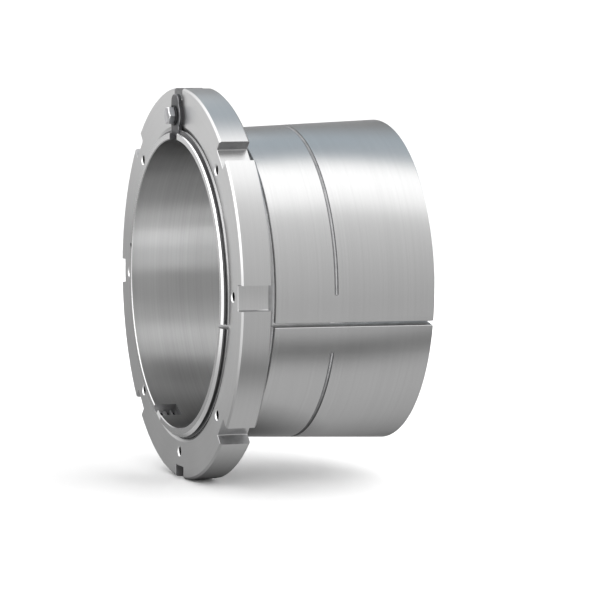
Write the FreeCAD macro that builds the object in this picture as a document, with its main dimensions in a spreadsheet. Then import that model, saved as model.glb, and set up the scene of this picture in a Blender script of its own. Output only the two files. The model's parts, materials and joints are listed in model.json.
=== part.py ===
import FreeCAD, Part
import math
import os
import Sketcher

# Bearing adapter sleeve of the oil injection type, with its lock nut and locking clip.
# The axis lies along X. The nut's front face is at X = 0 and the taper grows towards +X.
# Clock angles are in degrees, seen from the front of the nut: 0 is up (+Z), 90 is -Y.
# Threads are left plain, at their pitch diameter.

# Driving dimensions in millimetres and degrees: name, value, what it is
SIZES = (
    ("shaft_bore", 280, "bore of the sleeve, the shaft's diameter"),
    ("sleeve_length", 210, "whole length of the sleeve"),
    ("end_standout", 5.5, "how far the sleeve's small end stands out of the nut"),
    ("bore_chamfer", 0.8, "chamfer at both ends of the bore"),
    ("sleeve_wall", 10, "wall of the sleeve from the bore to the nut's thread"),
    ("thread_pitch", 6, "pitch of the nut's thread"),
    ("thread_lead", 2.5, "lead chamfer on the small end's thread"),
    ("thread_gap", 0.1, "radial gap between the two plain threads"),
    ("thread_behind_nut", 10, "thread left free behind the nut"),
    ("relief_width", 7, "width of the thread's run-out groove"),
    ("relief_depth", 3.5, "depth of the run-out groove below the thread's crests"),
    ("seat_rise", 0.55, "step in radius from the thread's crests to the seat's small end"),
    ("seat_taper", 12, "length in which the seat grows by one in diameter"),
    ("big_end_chamfer", 1, "chamfer at the big end's rim"),
    ("slit_width", 4, "width of the slit through the wall"),
    ("slit_clock", 101.5, "where the slit is"),
    ("oil_groove_radius", 1.9, "radius of the oil groove's round section"),
    ("oil_groove_to_end", 98, "from the middle of the oil groove to the big end"),
    ("oil_groove_gap", 21, "angle round the slit that the oil groove leaves out"),
    ("oil_port_dia", 5, "nominal diameter of the oil port's thread"),
    ("oil_port_pitch", 0.8, "pitch of the oil port's thread"),
    ("oil_port_depth", 12, "depth of the oil port's thread"),
    ("oil_port_wall", 1, "wall left between the oil port's thread and the bore"),
    ("oil_duct_dia", 3, "drilling from the oil port to the oil groove"),
    ("key_width", 22, "width of the two keyways in the small end"),
    ("key_length", 22.5, "length of the two keyways"),
    ("spare_key_clock", 202.5, "where the second keyway is, half a hole pitch off"),
    ("nut_wall", 40, "wall of the nut from its thread to its rim"),
    ("nut_width", 30, "width of the nut"),
    ("nut_chamfer", 1.8, "chamfer on the nut's rim"),
    ("nut_lead_width", 5, "radial width of the lead chamfer in the nut's bore"),
    ("nut_lead_depth", 2.2, "depth of the lead chamfer in the nut's bore"),
    ("rim_slot_count", 8, "spanner slots in the nut's rim"),
    ("rim_slot_width", 24, "width of a spanner slot"),
    ("rim_slot_depth", 12, "depth of a spanner slot"),
    ("screw_inset", 26.5, "from the nut's rim in to the circle of tapped holes"),
    ("screw_hole_count", 8, "tapped holes in the nut's face"),
    ("screw_dia", 10, "nominal diameter of the clip's screw"),
    ("screw_pitch", 1.5, "pitch of the clip's screw"),
    ("screw_gap", 0.05, "radial gap between the screw's and a hole's plain threads"),
    ("screw_hole_depth", 20, "depth of a tapped hole"),
    ("screw_hole_mouth", 10.4, "diameter of a tapped hole's countersunk mouth"),
    ("screw_length", 20, "length of the screw under its head"),
    ("screw_point", 1, "chamfer at the screw's tip"),
    ("head_flats", 16, "width of the hexagon head across its flats"),
    ("head_height", 6.4, "height of the hexagon head"),
    ("head_land_dia", 15, "flat round land on top of the head"),
    ("head_bevel_angle", 30, "slope of the bevel round the head's top"),
    ("washer_dia", 19.6, "outer diameter of the spring washer"),
    ("washer_bore", 10.6, "bore of the spring washer"),
    ("washer_thickness", 1.8, "thickness of the spring washer"),
    ("washer_split", 24, "angle of the spring washer's split"),
    ("clip_thickness", 4, "plate thickness of the locking clip"),
    ("clip_top", 20.5, "from the screw's axis to the clip's top edge"),
    ("clip_corner", 8, "radius of the clip's top corners"),
    ("clip_eye", 15, "radius of the clip's round eye about the screw"),
    ("clip_waist", 5, "radius where the eye runs into the clip's straight sides"),
    ("clip_edge", 1, "rounding along the front edges of the clip's plate"),
    ("clip_bend", 3.5, "radius inside the clip's bend"),
    ("clip_side_gap", 0.25, "gap between the clip and each keyway wall"),
    ("clip_end_gap", 1, "gap between the clip's tab and the end of the keyway"),
    ("clip_shaft_gap", 2.3, "gap between the clip's tab and the shaft"),
    ("clip_hole", 11, "screw hole in the clip"),
)

# Lengths and radii that follow from the driving dimensions
BORE_R = "sizes.shaft_bore / 2"
SMALL_END = "-sizes.end_standout"
BIG_END = "(sizes.sleeve_length - sizes.end_standout)"
CREST_R = f"({BORE_R} + sizes.sleeve_wall)"
THREAD_R = f"({CREST_R} - sizes.thread_pitch / 4)"
NUT_BORE_R = f"({THREAD_R} + sizes.thread_gap)"
RELIEF_START = "(sizes.nut_width + sizes.thread_behind_nut)"
RELIEF_R = f"({CREST_R} - sizes.relief_depth)"
SEAT_START = f"({RELIEF_START} + sizes.relief_width)"
SEAT_START_R = f"({CREST_R} + sizes.seat_rise)"
OIL_GROOVE_X = f"({BIG_END} - sizes.oil_groove_to_end)"
OIL_PORT_R = f"({BORE_R} + sizes.oil_port_wall + sizes.oil_port_dia / 2)"
NUT_R = f"({CREST_R} + sizes.nut_wall)"
SCREW_PLACE_R = f"({NUT_R} - sizes.screw_inset)"
FAR_INSIDE = "sizes.shaft_bore / 4"
FAR_OUTSIDE = f"2 * {NUT_R}"
SCREW_R = "(sizes.screw_dia / 2 - 0.325 * sizes.screw_pitch)"
SCREW_HOLE_DIA = f"2 * ({SCREW_R} + sizes.screw_gap)"
OIL_PORT_HOLE_DIA = "(sizes.oil_port_dia - 0.65 * sizes.oil_port_pitch)"
WASHER_FRONT = "(-sizes.clip_thickness - sizes.washer_thickness)"
TAB_UNDER = f"({BORE_R} + sizes.clip_shaft_gap)"
TAB_TOP = f"({TAB_UNDER} + sizes.clip_thickness)"


def seat_radius(place):
    """Radius of the tapered seat at an X place, as an expression."""
    return f"({SEAT_START_R} + ({place} - {SEAT_START}) / (2 * sizes.seat_taper))"


def make_sheet(doc):
    """Spreadsheet with one named cell for each driving dimension."""
    sheet = doc.addObject("Spreadsheet::Sheet", "sizes")
    for row, (name, value, meaning) in enumerate(SIZES, start=1):
        sheet.set(f"A{row}", meaning)
        sheet.set(f"B{row}", str(value))
        sheet.setAlias(f"B{row}", name)
    doc.recompute()
    return sheet


def make_body(doc, name):
    """Empty body whose label names the sub-part."""
    body = doc.addObject("PartDesign::Body", name)
    body.Label = name
    return body


def make_sketch(body, name, plane, turn="0", shift="0"):
    """Sketch on one of the body's own planes.

    On XZ_Plane its axes are X and Z, on YZ_Plane they are Y and Z. turn swings it round
    the X axis to a clock angle, and shift moves a YZ sketch along X.
    """
    sketch = body.newObject("Sketcher::SketchObject", name)
    origin_plane = [item for item in body.Origin.OriginFeatures if item.Role == plane][0]
    sketch.AttachmentSupport = [(origin_plane, "")]
    sketch.MapMode = "FlatFace"
    hinge = FreeCAD.Vector(1, 0, 0) if plane == "XZ_Plane" else FreeCAD.Vector(0, 0, 1)
    sketch.AttachmentOffset = FreeCAD.Placement(FreeCAD.Vector(), FreeCAD.Rotation(hinge, 1))
    sketch.setExpression("AttachmentOffset.Rotation.Angle", turn)
    sketch.setExpression("AttachmentOffset.Base.z", shift)
    return sketch


def place_point(sketch, edge, point, across, up):
    """Hold one point of an edge at two distances from the sketch's origin."""
    for kind, distance in (("DistanceX", across), ("DistanceY", up)):
        index = sketch.addConstraint(Sketcher.Constraint(kind, -1, 1, edge, point, 1.0))
        sketch.setExpression(f"Constraints[{index}]", distance)


def draw_outline(sketch, corners):
    """Closed outline of straight edges through corners given as pairs of expressions.

    It is first drawn round a circle the size of the bore, and its corners are then pulled to their places.
    """
    count = len(corners)
    reach = sketch.Document.sizes.shaft_bore / 2
    rough = []
    for index in range(count):
        angle = 2 * math.pi * index / count
        rough.append(FreeCAD.Vector(reach * math.cos(angle), reach * math.sin(angle), 0))
    for index in range(count):
        sketch.addGeometry(Part.LineSegment(rough[index], rough[(index + 1) % count]), False)
    for index in range(count):
        after = (index + 1) % count
        sketch.addConstraint(Sketcher.Constraint("Coincident", index, 2, after, 1))
    for index, (across, up) in enumerate(corners):
        place_point(sketch, index, 1, across, up)
    return sketch


def draw_circle(sketch, across, up, radius):
    """One circle given by its centre and radius as expressions."""
    centre = FreeCAD.Vector(1, 1, 0)
    sketch.addGeometry(Part.Circle(centre, FreeCAD.Vector(0, 0, 1), 1), False)
    place_point(sketch, 0, 3, across, up)
    index = sketch.addConstraint(Sketcher.Constraint("Radius", 0, 1.0))
    sketch.setExpression(f"Constraints[{index}]", radius)
    return sketch


def radial_slot(body, name, width, inner, outer, turn, shift="0"):
    """Rectangle that straddles a radius at a clock angle, between two radii."""
    sketch = make_sketch(body, name, "YZ_Plane", turn, shift)
    left = f"-{width} / 2"
    right = f"{width} / 2"
    return draw_outline(sketch, ((left, inner), (right, inner), (right, outer), (left, outer)))


def revolve(body, name, sketch, feature="Revolution", angle="360", symmetric=False):
    """Turn a sketch round its horizontal axis, to add material or, as a Groove, to cut it."""
    turned = body.newObject(f"PartDesign::{feature}", name)
    turned.Profile = sketch
    turned.ReferenceAxis = (sketch, ["H_Axis"])
    turned.Midplane = symmetric
    turned.setExpression("Angle", angle)
    return turned


def pad(body, name, sketch, length, symmetric=False):
    """Add a prism on a sketch."""
    prism = body.newObject("PartDesign::Pad", name)
    prism.Profile = sketch
    prism.SideType = "Symmetric" if symmetric else "One side"
    prism.setExpression("Length", length)
    return prism


def cut_forward(body, name, sketch, length):
    """Cut a sketch into the body, towards the sketch's normal, to a depth."""
    pocket = body.newObject("PartDesign::Pocket", name)
    pocket.Profile = sketch
    pocket.Reversed = True
    pocket.setExpression("Length", length)
    return pocket


def cut_through(body, name, sketch):
    """Cut a sketch right through the body, both ways."""
    pocket = body.newObject("PartDesign::Pocket", name)
    pocket.Profile = sketch
    pocket.Type = "ThroughAll"
    pocket.Type2 = "ThroughAll"
    pocket.SideType = "Two sides"
    return pocket


def repeat_round_axis(body, name, feature, count):
    """Repeat a cut evenly round the X axis."""
    pattern = body.newObject("PartDesign::PolarPattern", name)
    pattern.Originals = [feature]
    axis = [item for item in body.Origin.OriginFeatures if item.Role == "X_Axis"][0]
    pattern.Axis = (axis, [""])
    pattern.Angle = 360
    pattern.setExpression("Occurrences", count)
    body.Tip = pattern
    return pattern


def round_edges(doc, body, name, base, is_wanted, radius):
    """Fillet the edges of a feature whose middle point passes a test."""
    doc.recompute()
    wanted = []
    for number, edge in enumerate(base.Shape.Edges, start=1):
        if is_wanted(edge.valueAt((edge.FirstParameter + edge.LastParameter) / 2)):
            wanted.append(f"Edge{number}")
    fillet = body.newObject("PartDesign::Fillet", name)
    fillet.Base = (base, wanted)
    fillet.setExpression("Radius", radius)
    return fillet


def make_sleeve(doc):
    """Tapered split sleeve with its thread, two keyways and oil supply."""
    body = make_body(doc, "sleeve")
    end_seat_r = seat_radius(f"({BIG_END} - sizes.big_end_chamfer)")
    section = draw_outline(make_sketch(body, "sleeve_section", "XZ_Plane"), (
        (f"{SMALL_END} + sizes.bore_chamfer", BORE_R),
        (SMALL_END, f"{BORE_R} + sizes.bore_chamfer"),
        (SMALL_END, f"{THREAD_R} - sizes.thread_lead"),
        (f"{SMALL_END} + sizes.thread_lead", THREAD_R),
        (RELIEF_START, THREAD_R),
        (RELIEF_START, RELIEF_R),
        (SEAT_START, RELIEF_R),
        (SEAT_START, SEAT_START_R),
        (f"{BIG_END} - sizes.big_end_chamfer", end_seat_r),
        (BIG_END, f"{end_seat_r} - sizes.big_end_chamfer"),
        (BIG_END, f"{BORE_R} + sizes.bore_chamfer"),
        (f"{BIG_END} - sizes.bore_chamfer", BORE_R),
    ))
    revolve(body, "turned_sleeve", section)

    # The oil groove is a round channel in the seat that stops short of the slit
    opposite_slit = "sizes.slit_clock - 180"
    channel = make_sketch(body, "oil_groove_section", "XZ_Plane", turn=opposite_slit)
    draw_circle(channel, OIL_GROOVE_X, seat_radius(OIL_GROOVE_X), "sizes.oil_groove_radius")
    revolve(body, "oil_groove", channel, "Groove", "360 - sizes.oil_groove_gap", symmetric=True)

    # The tapped oil port, the long duct and the riser that feeds the oil groove
    for name, diameter, depth in (
        ("oil_port", OIL_PORT_HOLE_DIA, "sizes.oil_port_depth"),
        ("oil_duct", "sizes.oil_duct_dia", f"{OIL_GROOVE_X} + sizes.end_standout"),
    ):
        mouth = make_sketch(body, f"{name}_mouth", "YZ_Plane", opposite_slit, SMALL_END)
        draw_circle(mouth, "0", OIL_PORT_R, f"{diameter} / 2")
        cut_forward(body, name, mouth, depth)
    riser = make_sketch(body, "oil_riser_section", "XZ_Plane", turn=opposite_slit)
    riser_back = f"{OIL_GROOVE_X} - sizes.oil_duct_dia / 2"
    riser_front = f"{OIL_GROOVE_X} + sizes.oil_duct_dia / 2"
    draw_outline(riser, (
        (riser_back, OIL_PORT_R),
        (riser_front, OIL_PORT_R),
        (riser_front, seat_radius(OIL_GROOVE_X)),
        (riser_back, seat_radius(OIL_GROOVE_X)),
    ))
    channel_cut = body.newObject("PartDesign::Pocket", "oil_riser")
    channel_cut.Profile = riser
    channel_cut.SideType = "Symmetric"
    channel_cut.setExpression("Length", "sizes.oil_duct_dia")

    # Two keyways in the small end, one at the top and one half a hole pitch off the bottom
    for name, clock in (("locking_keyway", "0"), ("spare_keyway", "sizes.spare_key_clock")):
        key = radial_slot(body, f"{name}_end", "sizes.key_width", FAR_INSIDE, FAR_OUTSIDE, clock, SMALL_END)
        cut_forward(body, name, key, "sizes.key_length")

    slit = radial_slot(body, "slit_end", "sizes.slit_width", FAR_INSIDE, FAR_OUTSIDE, "sizes.slit_clock")
    cut_through(body, "slit", slit)
    return body


def make_lock_nut(doc):
    """Round nut with spanner slots in its rim and tapped holes in its front face."""
    body = make_body(doc, "lock_nut")
    face_inner_r = f"{NUT_BORE_R} + sizes.nut_lead_width"
    section = draw_outline(make_sketch(body, "nut_section", "XZ_Plane"), (
        ("0", face_inner_r),
        ("0", f"{NUT_R} - sizes.nut_chamfer"),
        ("sizes.nut_chamfer", NUT_R),
        ("sizes.nut_width - sizes.nut_chamfer", NUT_R),
        ("sizes.nut_width", f"{NUT_R} - sizes.nut_chamfer"),
        ("sizes.nut_width", face_inner_r),
        ("sizes.nut_width - sizes.nut_lead_depth", NUT_BORE_R),
        ("sizes.nut_lead_depth", NUT_BORE_R),
    ))
    revolve(body, "turned_nut", section)

    floor = f"{NUT_R} - sizes.rim_slot_depth"
    slot_end = radial_slot(body, "rim_slot_end", "sizes.rim_slot_width", floor, FAR_OUTSIDE, "0")
    slot = cut_through(body, "rim_slot", slot_end)
    repeat_round_axis(body, "rim_slots", slot, "sizes.rim_slot_count")

    doc.recompute()
    place = draw_circle(
        make_sketch(body, "screw_hole_place", "YZ_Plane"), "0", SCREW_PLACE_R,
        "sizes.screw_dia / 2")
    doc.recompute()
    hole = body.newObject("PartDesign::Hole", "screw_hole")
    hole.Profile = place
    hole.Reversed = True
    hole.DepthType = "Dimension"
    hole.DrillPoint = "Angled"
    hole.HoleCutType = "Countersink"
    hole.setExpression("Diameter", SCREW_HOLE_DIA)
    hole.setExpression("Depth", "sizes.screw_hole_depth")
    hole.setExpression("HoleCutDiameter", "sizes.screw_hole_mouth")
    doc.recompute()
    repeat_round_axis(body, "screw_holes", hole, "sizes.screw_hole_count")
    return body


def make_locking_clip(doc, sheet):
    """Bent plate: its flat lies on the nut's face and its tab sits in the top keyway."""
    body = make_body(doc, "locking_clip")
    clip_top = f"({SCREW_PLACE_R} + sizes.clip_top)"
    tab_end = f"{SMALL_END} + sizes.key_length - sizes.clip_end_gap"
    side_view = draw_outline(make_sketch(body, "clip_side_view", "XZ_Plane"), (
        ("-sizes.clip_thickness", clip_top),
        ("0", clip_top),
        ("0", TAB_TOP),
        (tab_end, TAB_TOP),
        (tab_end, TAB_UNDER),
        ("-sizes.clip_thickness", TAB_UNDER),
    ))
    pad(body, "clip_plate", side_view, "sizes.key_width - 2 * sizes.clip_side_gap", True)
    eye = make_sketch(body, "clip_eye_place", "YZ_Plane", shift="-sizes.clip_thickness")
    draw_circle(eye, "0", SCREW_PLACE_R, "sizes.clip_eye")
    plate = pad(body, "clip_eye", eye, "sizes.clip_thickness")

    screw_z = sheet.shaft_bore / 2 + sheet.sleeve_wall + sheet.nut_wall - sheet.screw_inset
    top_z = screw_z + sheet.clip_top
    under_z = sheet.shaft_bore / 2 + sheet.clip_shaft_gap
    tab_top_z = under_z + sheet.clip_thickness
    half_width = sheet.key_width / 2 - sheet.clip_side_gap
    waist_z = math.sqrt(sheet.clip_eye ** 2 - half_width ** 2)
    half_thickness = sheet.clip_thickness / 2

    def is_near(value, wanted):
        return abs(value - wanted) < 0.01

    inside = round_edges(
        doc, body, "bend_inside", plate,
        lambda middle: is_near(middle.x, 0) and is_near(middle.z, tab_top_z), "sizes.clip_bend")
    outside = round_edges(
        doc, body, "bend_outside", inside,
        lambda middle: is_near(middle.x, -sheet.clip_thickness) and is_near(middle.z, under_z),
        "sizes.clip_bend + sizes.clip_thickness")
    corners = round_edges(
        doc, body, "top_corners", outside,
        lambda middle: is_near(middle.z, top_z) and is_near(middle.x, -half_thickness),
        "sizes.clip_corner")
    waist = round_edges(
        doc, body, "eye_waist", corners,
        lambda middle: is_near(abs(middle.z - screw_z), waist_z) and is_near(middle.x, -half_thickness),
        "sizes.clip_waist")
    round_edges(
        doc, body, "front_edges", waist,
        lambda middle: is_near(middle.x, -sheet.clip_thickness) and is_near(middle.z, top_z),
        "sizes.clip_edge")

    hole = make_sketch(body, "clip_hole_place", "YZ_Plane")
    draw_circle(hole, "0", SCREW_PLACE_R, "sizes.clip_hole / 2")
    cut_through(body, "clip_screw_hole", hole)
    return body


def make_spring_washer(doc):
    """Split ring under the screw's head, pressed flat."""
    body = make_body(doc, "spring_washer")
    section = draw_outline(
        make_sketch(body, "washer_section", "XZ_Plane", turn="sizes.washer_split / 2"), (
            (WASHER_FRONT, "sizes.washer_bore / 2"),
            (WASHER_FRONT, "sizes.washer_dia / 2"),
            ("-sizes.clip_thickness", "sizes.washer_dia / 2"),
            ("-sizes.clip_thickness", "sizes.washer_bore / 2"),
        ))
    revolve(body, "washer_ring", section, angle="360 - sizes.washer_split")
    body.setExpression("Placement.Base.z", SCREW_PLACE_R)
    return body


def make_clip_screw(doc):
    """Hexagon head screw that holds the clip to the nut."""
    body = make_body(doc, "clip_screw")
    tip = f"({WASHER_FRONT} + sizes.screw_length)"
    section = draw_outline(make_sketch(body, "shank_section", "XZ_Plane"), (
        (f"{WASHER_FRONT} - sizes.head_height / 2", "0"),
        (f"{WASHER_FRONT} - sizes.head_height / 2", SCREW_R),
        (f"{tip} - sizes.screw_point", SCREW_R),
        (tip, f"{SCREW_R} - sizes.screw_point"),
        (tip, "0"),
    ))
    revolve(body, "shank", section)

    head_top = f"({WASHER_FRONT} - sizes.head_height)"
    corner_r = "(sizes.head_flats / 2 / cos(30 deg))"
    hexagon = []
    for step in range(6):
        hexagon.append((f"{corner_r} * cos({60 * step} deg)", f"{corner_r} * sin({60 * step} deg)"))
    head_outline = draw_outline(make_sketch(body, "head_outline", "YZ_Plane", shift=head_top), hexagon)
    pad(body, "head", head_outline, "sizes.head_height")

    # The bevel takes the hexagon's corners off round a flat land
    land_r = "sizes.head_land_dia / 2"
    bevel_depth = f"(sizes.head_flats - {land_r}) * tan(sizes.head_bevel_angle * 1 deg)"
    bevel = draw_outline(make_sketch(body, "bevel_section", "XZ_Plane"), (
        (head_top, land_r),
        (head_top, "sizes.head_flats"),
        (f"{head_top} + {bevel_depth}", "sizes.head_flats"),
    ))
    revolve(body, "head_bevel", bevel, "Groove")
    body.setExpression("Placement.Base.z", SCREW_PLACE_R)
    return body


def check(doc, bodies):
    """Stop when a feature has failed or a sub-part isn't one sound solid."""
    for item in doc.Objects:
        if "Invalid" in item.State or "Error" in item.State:
            raise RuntimeError(f"{item.Name} failed: {item.State}")
    for body in bodies:
        shape = body.Shape
        if shape.isNull() or not shape.isValid() or len(shape.Solids) != 1:
            raise RuntimeError(f"{body.Label} isn't one sound solid")


def main():
    doc = FreeCAD.newDocument("bearing_adapter_sleeve")
    sheet = make_sheet(doc)
    bodies = [
        make_sleeve(doc),
        make_lock_nut(doc),
        make_locking_clip(doc, sheet),
        make_spring_washer(doc),
        make_clip_screw(doc),
    ]
    doc.recompute()
    check(doc, bodies)
    os.makedirs("parts", exist_ok=True)
    for body in bodies:
        body.Shape.exportStep(f"parts/{body.Label}.step")
        box = body.Shape.BoundBox
        print(f"{body.Label}: {body.Shape.Volume / 1000:.1f} cm3, "
              f"X {box.XMin:.2f} to {box.XMax:.2f}, Y {box.YMin:.2f} to {box.YMax:.2f}, "
              f"Z {box.ZMin:.2f} to {box.ZMax:.2f}")


main()
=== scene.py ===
import json
import math

import bmesh
import bpy
import numpy as np
from bpy.props import FloatProperty, FloatVectorProperty, IntProperty, PointerProperty
from bpy.types import Operator, Panel, PropertyGroup
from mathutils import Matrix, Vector


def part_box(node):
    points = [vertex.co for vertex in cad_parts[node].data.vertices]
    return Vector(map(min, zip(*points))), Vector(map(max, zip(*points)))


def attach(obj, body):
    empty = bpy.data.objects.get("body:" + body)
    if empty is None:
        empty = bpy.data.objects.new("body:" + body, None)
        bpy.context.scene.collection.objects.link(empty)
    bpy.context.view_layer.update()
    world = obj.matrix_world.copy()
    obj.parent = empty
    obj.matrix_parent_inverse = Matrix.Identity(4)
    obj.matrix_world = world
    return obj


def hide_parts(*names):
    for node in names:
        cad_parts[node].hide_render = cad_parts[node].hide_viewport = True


bl_info = {
    "name": "Bearing Adapter Sleeve",
    "version": (1, 0, 0),
    "blender": (4, 5, 0),
    "location": "3D View > Sidebar > Adapter Sleeve",
    "description": "Makes the finished surfaces of a bearing adapter sleeve with its nut and clip",
    "category": "Object",
}

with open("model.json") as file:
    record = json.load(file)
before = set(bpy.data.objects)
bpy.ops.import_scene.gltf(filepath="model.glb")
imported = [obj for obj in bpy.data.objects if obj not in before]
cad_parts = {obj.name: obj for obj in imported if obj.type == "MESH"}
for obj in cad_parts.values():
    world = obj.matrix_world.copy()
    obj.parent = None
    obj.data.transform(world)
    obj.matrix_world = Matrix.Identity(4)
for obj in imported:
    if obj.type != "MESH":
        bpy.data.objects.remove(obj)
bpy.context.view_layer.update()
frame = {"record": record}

MM = 0.001
TURN = 2 * math.pi
ROOT_BODY = "root"

# Points nearer than the first are merged, and edges shorter than the second go, in metres
MERGE_M = 2e-6
SLIVER_M = 1e-7


def box_mm(node):
    """Lowest and highest corner of a CAD node in millimetres."""
    low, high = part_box(node)
    return np.array(low) / MM, np.array(high) / MM


def mount(name):
    """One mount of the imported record."""
    return next(item for item in frame["record"]["mounts"] if item["name"] == name)


SLEEVE_LOW, SLEEVE_HIGH = box_mm("sleeve")
NUT_LOW, NUT_HIGH = box_mm("lock_nut")
CLIP_LOW, CLIP_HIGH = box_mm("locking_clip")
WASHER_LOW, WASHER_HIGH = box_mm("spring_washer")
SCREW_LOW, SCREW_HIGH = box_mm("clip_screw")
BORE_R = mount("shaft_bore")["dims"]["r_mm"]
SCREW_CIRCLE_R = mount("clip_holes_level")["dims"]["spacing_x_mm"] / 2

# Places and sizes of the CAD solids that their boxes don't give, in mm and degrees
SLEEVE_START, SLEEVE_END = SLEEVE_LOW[0], SLEEVE_HIGH[0]
SLIT_CLOCK = 101.5
SLIT_HALF = 2.0
SPARE_KEY_CLOCK = 202.5
KEY_HALF = 11.0
KEY_END_X = 17.0
THREAD_CREST_R = 150.0
RELIEF_X = (40.0, 47.0)
RELIEF_R = 146.5
SEAT_START_R = 150.55
SEAT_SLOPE = 1 / 24
OIL_GROOVE_X = 106.5
NUT_R = 190.0
SLOT_FLOOR_R = 178.0
SLOT_WIDTH = 24.0
SLOT_CORNER_R = 1.2
HOLE_COUNT = 8
OIL_PORT_R = 143.5
CLIP_HALF = 10.75
CLIP_CORNER_R = 8.0
CLIP_EYE_R = 15.0
CLIP_WAIST_R = 5.0
CLIP_EDGE_R = 1.0
CLIP_BEND_R = 3.5

# Sizes of the fine shapes that only this file makes, in mm and degrees
LEAD_START_R = 146.0
LEAD_END = SLEEVE_START + THREAD_CREST_R - LEAD_START_R
THREAD_TAIL = 1.5
BORE_BREAK = 0.8
GROOVE_BALL_R = 1.9
GROOVE_END_CLOCK = 10.5
SLIT_MOUTH_R = 1.5
NUT_FACE_R = 153.6
NUT_CREST_R = THREAD_CREST_R + 0.5
NUT_LEAD_SLOPE = 5 / 2.2
SCREW_LAND_R = 7.2
SCREW_BEVEL_SLOPE = math.tan(math.radians(30))

# How far cutters reach, in mm: inside and outside the sleeve's wall, past the rim, and along X
CUT_INSIDE_R, CUT_OUTSIDE_R, CUT_RIM_R, CUT_PAST = 110, 175, 210, 4


# Surfaces worked out with numpy

def on_clock(x, radius, clock, lift=0.0):
    """Points round the X axis: Y is -radius * sin(clock), and Z is lift + radius * cos(clock)."""
    x, radius, clock = np.broadcast_arrays(x, radius, clock)
    return np.stack([x, -radius * np.sin(clock), lift + radius * np.cos(clock)], axis=-1)


def beside_clock(x, across, out, clock):
    """Points of a slot's own frame: out along the radius at a clock angle, across it, and along X.

    Y is -(out * sin(clock) + across * cos(clock)), and Z is out * cos(clock) - across * sin(clock).
    """
    x, across, out = np.broadcast_arrays(x, across, out)
    y = -(out * math.sin(clock) + across * math.cos(clock))
    z = out * math.cos(clock) - across * math.sin(clock)
    return np.stack([x, y, z], axis=-1)


def grid_faces(rows, columns, after_seam=None, loop=False):
    """Quads of a grid of rows by columns, closed round its columns, and round its rows if it loops.

    Past the last column, row k meets row after_seam[k] of the first one, as a helix does.
    """
    vertex = np.arange(rows * columns).reshape(rows, columns)
    right = np.roll(vertex, -1, axis=1)
    if after_seam is not None:
        right[:, -1] = vertex[after_seam, 0]
    below = np.roll(vertex, -1, axis=0)
    below_right = np.roll(right, -1, axis=0)
    quads = np.stack([vertex, right, below_right, below], axis=-1)
    if not loop:
        quads = quads[:-1]
    return quads.reshape(-1, 4)


def fill_mesh(name, points, quads, caps=()):
    """Mesh in metres from points in millimetres, merged where rows meet and turned to face outwards."""
    mesh = bpy.data.meshes.new(name)
    corners = np.array([4] * len(quads) + [len(cap) for cap in caps])
    loops = np.concatenate([quads.ravel(), *(np.array(cap) for cap in caps)])
    mesh.vertices.add(len(points))
    mesh.vertices.foreach_set("co", (points * MM).astype(np.float32).ravel())
    mesh.loops.add(len(loops))
    mesh.loops.foreach_set("vertex_index", loops.astype(np.int32))
    mesh.polygons.add(len(corners))
    starts = np.cumsum(corners) - corners
    mesh.polygons.foreach_set("loop_start", starts.astype(np.int32))
    mesh.update(calc_edges=True)
    work = bmesh.new()
    work.from_mesh(mesh)
    bmesh.ops.remove_doubles(work, verts=work.verts, dist=MERGE_M)
    bmesh.ops.dissolve_degenerate(work, edges=work.edges, dist=SLIVER_M)
    bmesh.ops.recalc_face_normals(work, faces=work.faces)
    work.to_mesh(mesh)
    work.free()
    return mesh


def carried_solid(name, points):
    """Closed solid from one outline carried through stations: points are stations by outline by XYZ."""
    stations, around, _ = points.shape
    last = (stations - 1) * around
    caps = (range(around), range(last, last + around))
    return fill_mesh(name, points.reshape(-1, 3), grid_faces(stations, around), caps)


# Corners of a thread's profile, in pitches from the middle of its crest, with the heights there.
# Rows of a helix lie at the corners only, or closer together where a cone cuts the thread.
THREAD_CORNERS = (0.0, 0.165, 0.19, 0.335, 0.36, 0.5)
THREAD_HEIGHTS = (1.0, 1.0, 0.95, 0.05, 0.0, 0.0)
CORNER_ROWS = np.array(sorted([-c for c in THREAD_CORNERS[1:5]] + list(THREAD_CORNERS[1:5])))
FINE_ROWS = np.union1d(CORNER_ROWS, np.linspace(-0.5, 0.5, 20, endpoint=False))


def thread_height(turns):
    """Height of a trapezoidal thread, 1 on its crest and 0 in its root.

    turns counts pitches from the middle of a crest. The height is 1 within a sixth of a pitch
    of it, falls evenly down the flank, and is 0 from a third of a pitch on, with small bevels.
    """
    return np.interp(np.abs(turns - np.round(turns)), THREAD_CORNERS, THREAD_HEIGHTS)


def helix_rows(low, high, pitch, crest_x, clock, corners=CORNER_ROWS):
    """Rows that follow a right-hand helix, one pitch further along X after each turn.

    Each stays at one corner of the thread's profile and is held between low and high.
    Returns X by row and column, and how many rows make a pitch.
    """
    first = math.floor((low - crest_x - pitch * clock[-1] / TURN) / pitch) - 2
    last = math.ceil((high - crest_x - pitch * clock[0] / TURN) / pitch) + 2
    turns = (np.arange(first, last)[:, None] + corners).ravel()
    x = crest_x + pitch * (turns[:, None] + clock / TURN)
    return np.clip(x, low, high), len(corners)


def stack_rows(blocks, columns):
    """Joins blocks of rows into X and radius grids, with the row that each meets past the seam.

    A block is (X, radius) for one plain row, or (X grid, radius grid, rows to a pitch).
    """
    all_x, all_r, seam = [], [], []
    for block in blocks:
        start = len(seam)
        if len(block) == 2:
            all_x.append(np.broadcast_to(block[0], (1, columns)))
            all_r.append(np.broadcast_to(block[1], (1, columns)))
            seam.append(start)
            continue
        grid_x, grid_r, per_pitch = block
        count = len(grid_x)
        all_x.append(grid_x)
        all_r.append(grid_r)
        seam.extend(start + min(k + per_pitch, count - 1) for k in range(count))
    return np.concatenate(all_x), np.concatenate(all_r), np.array(seam)


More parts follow.
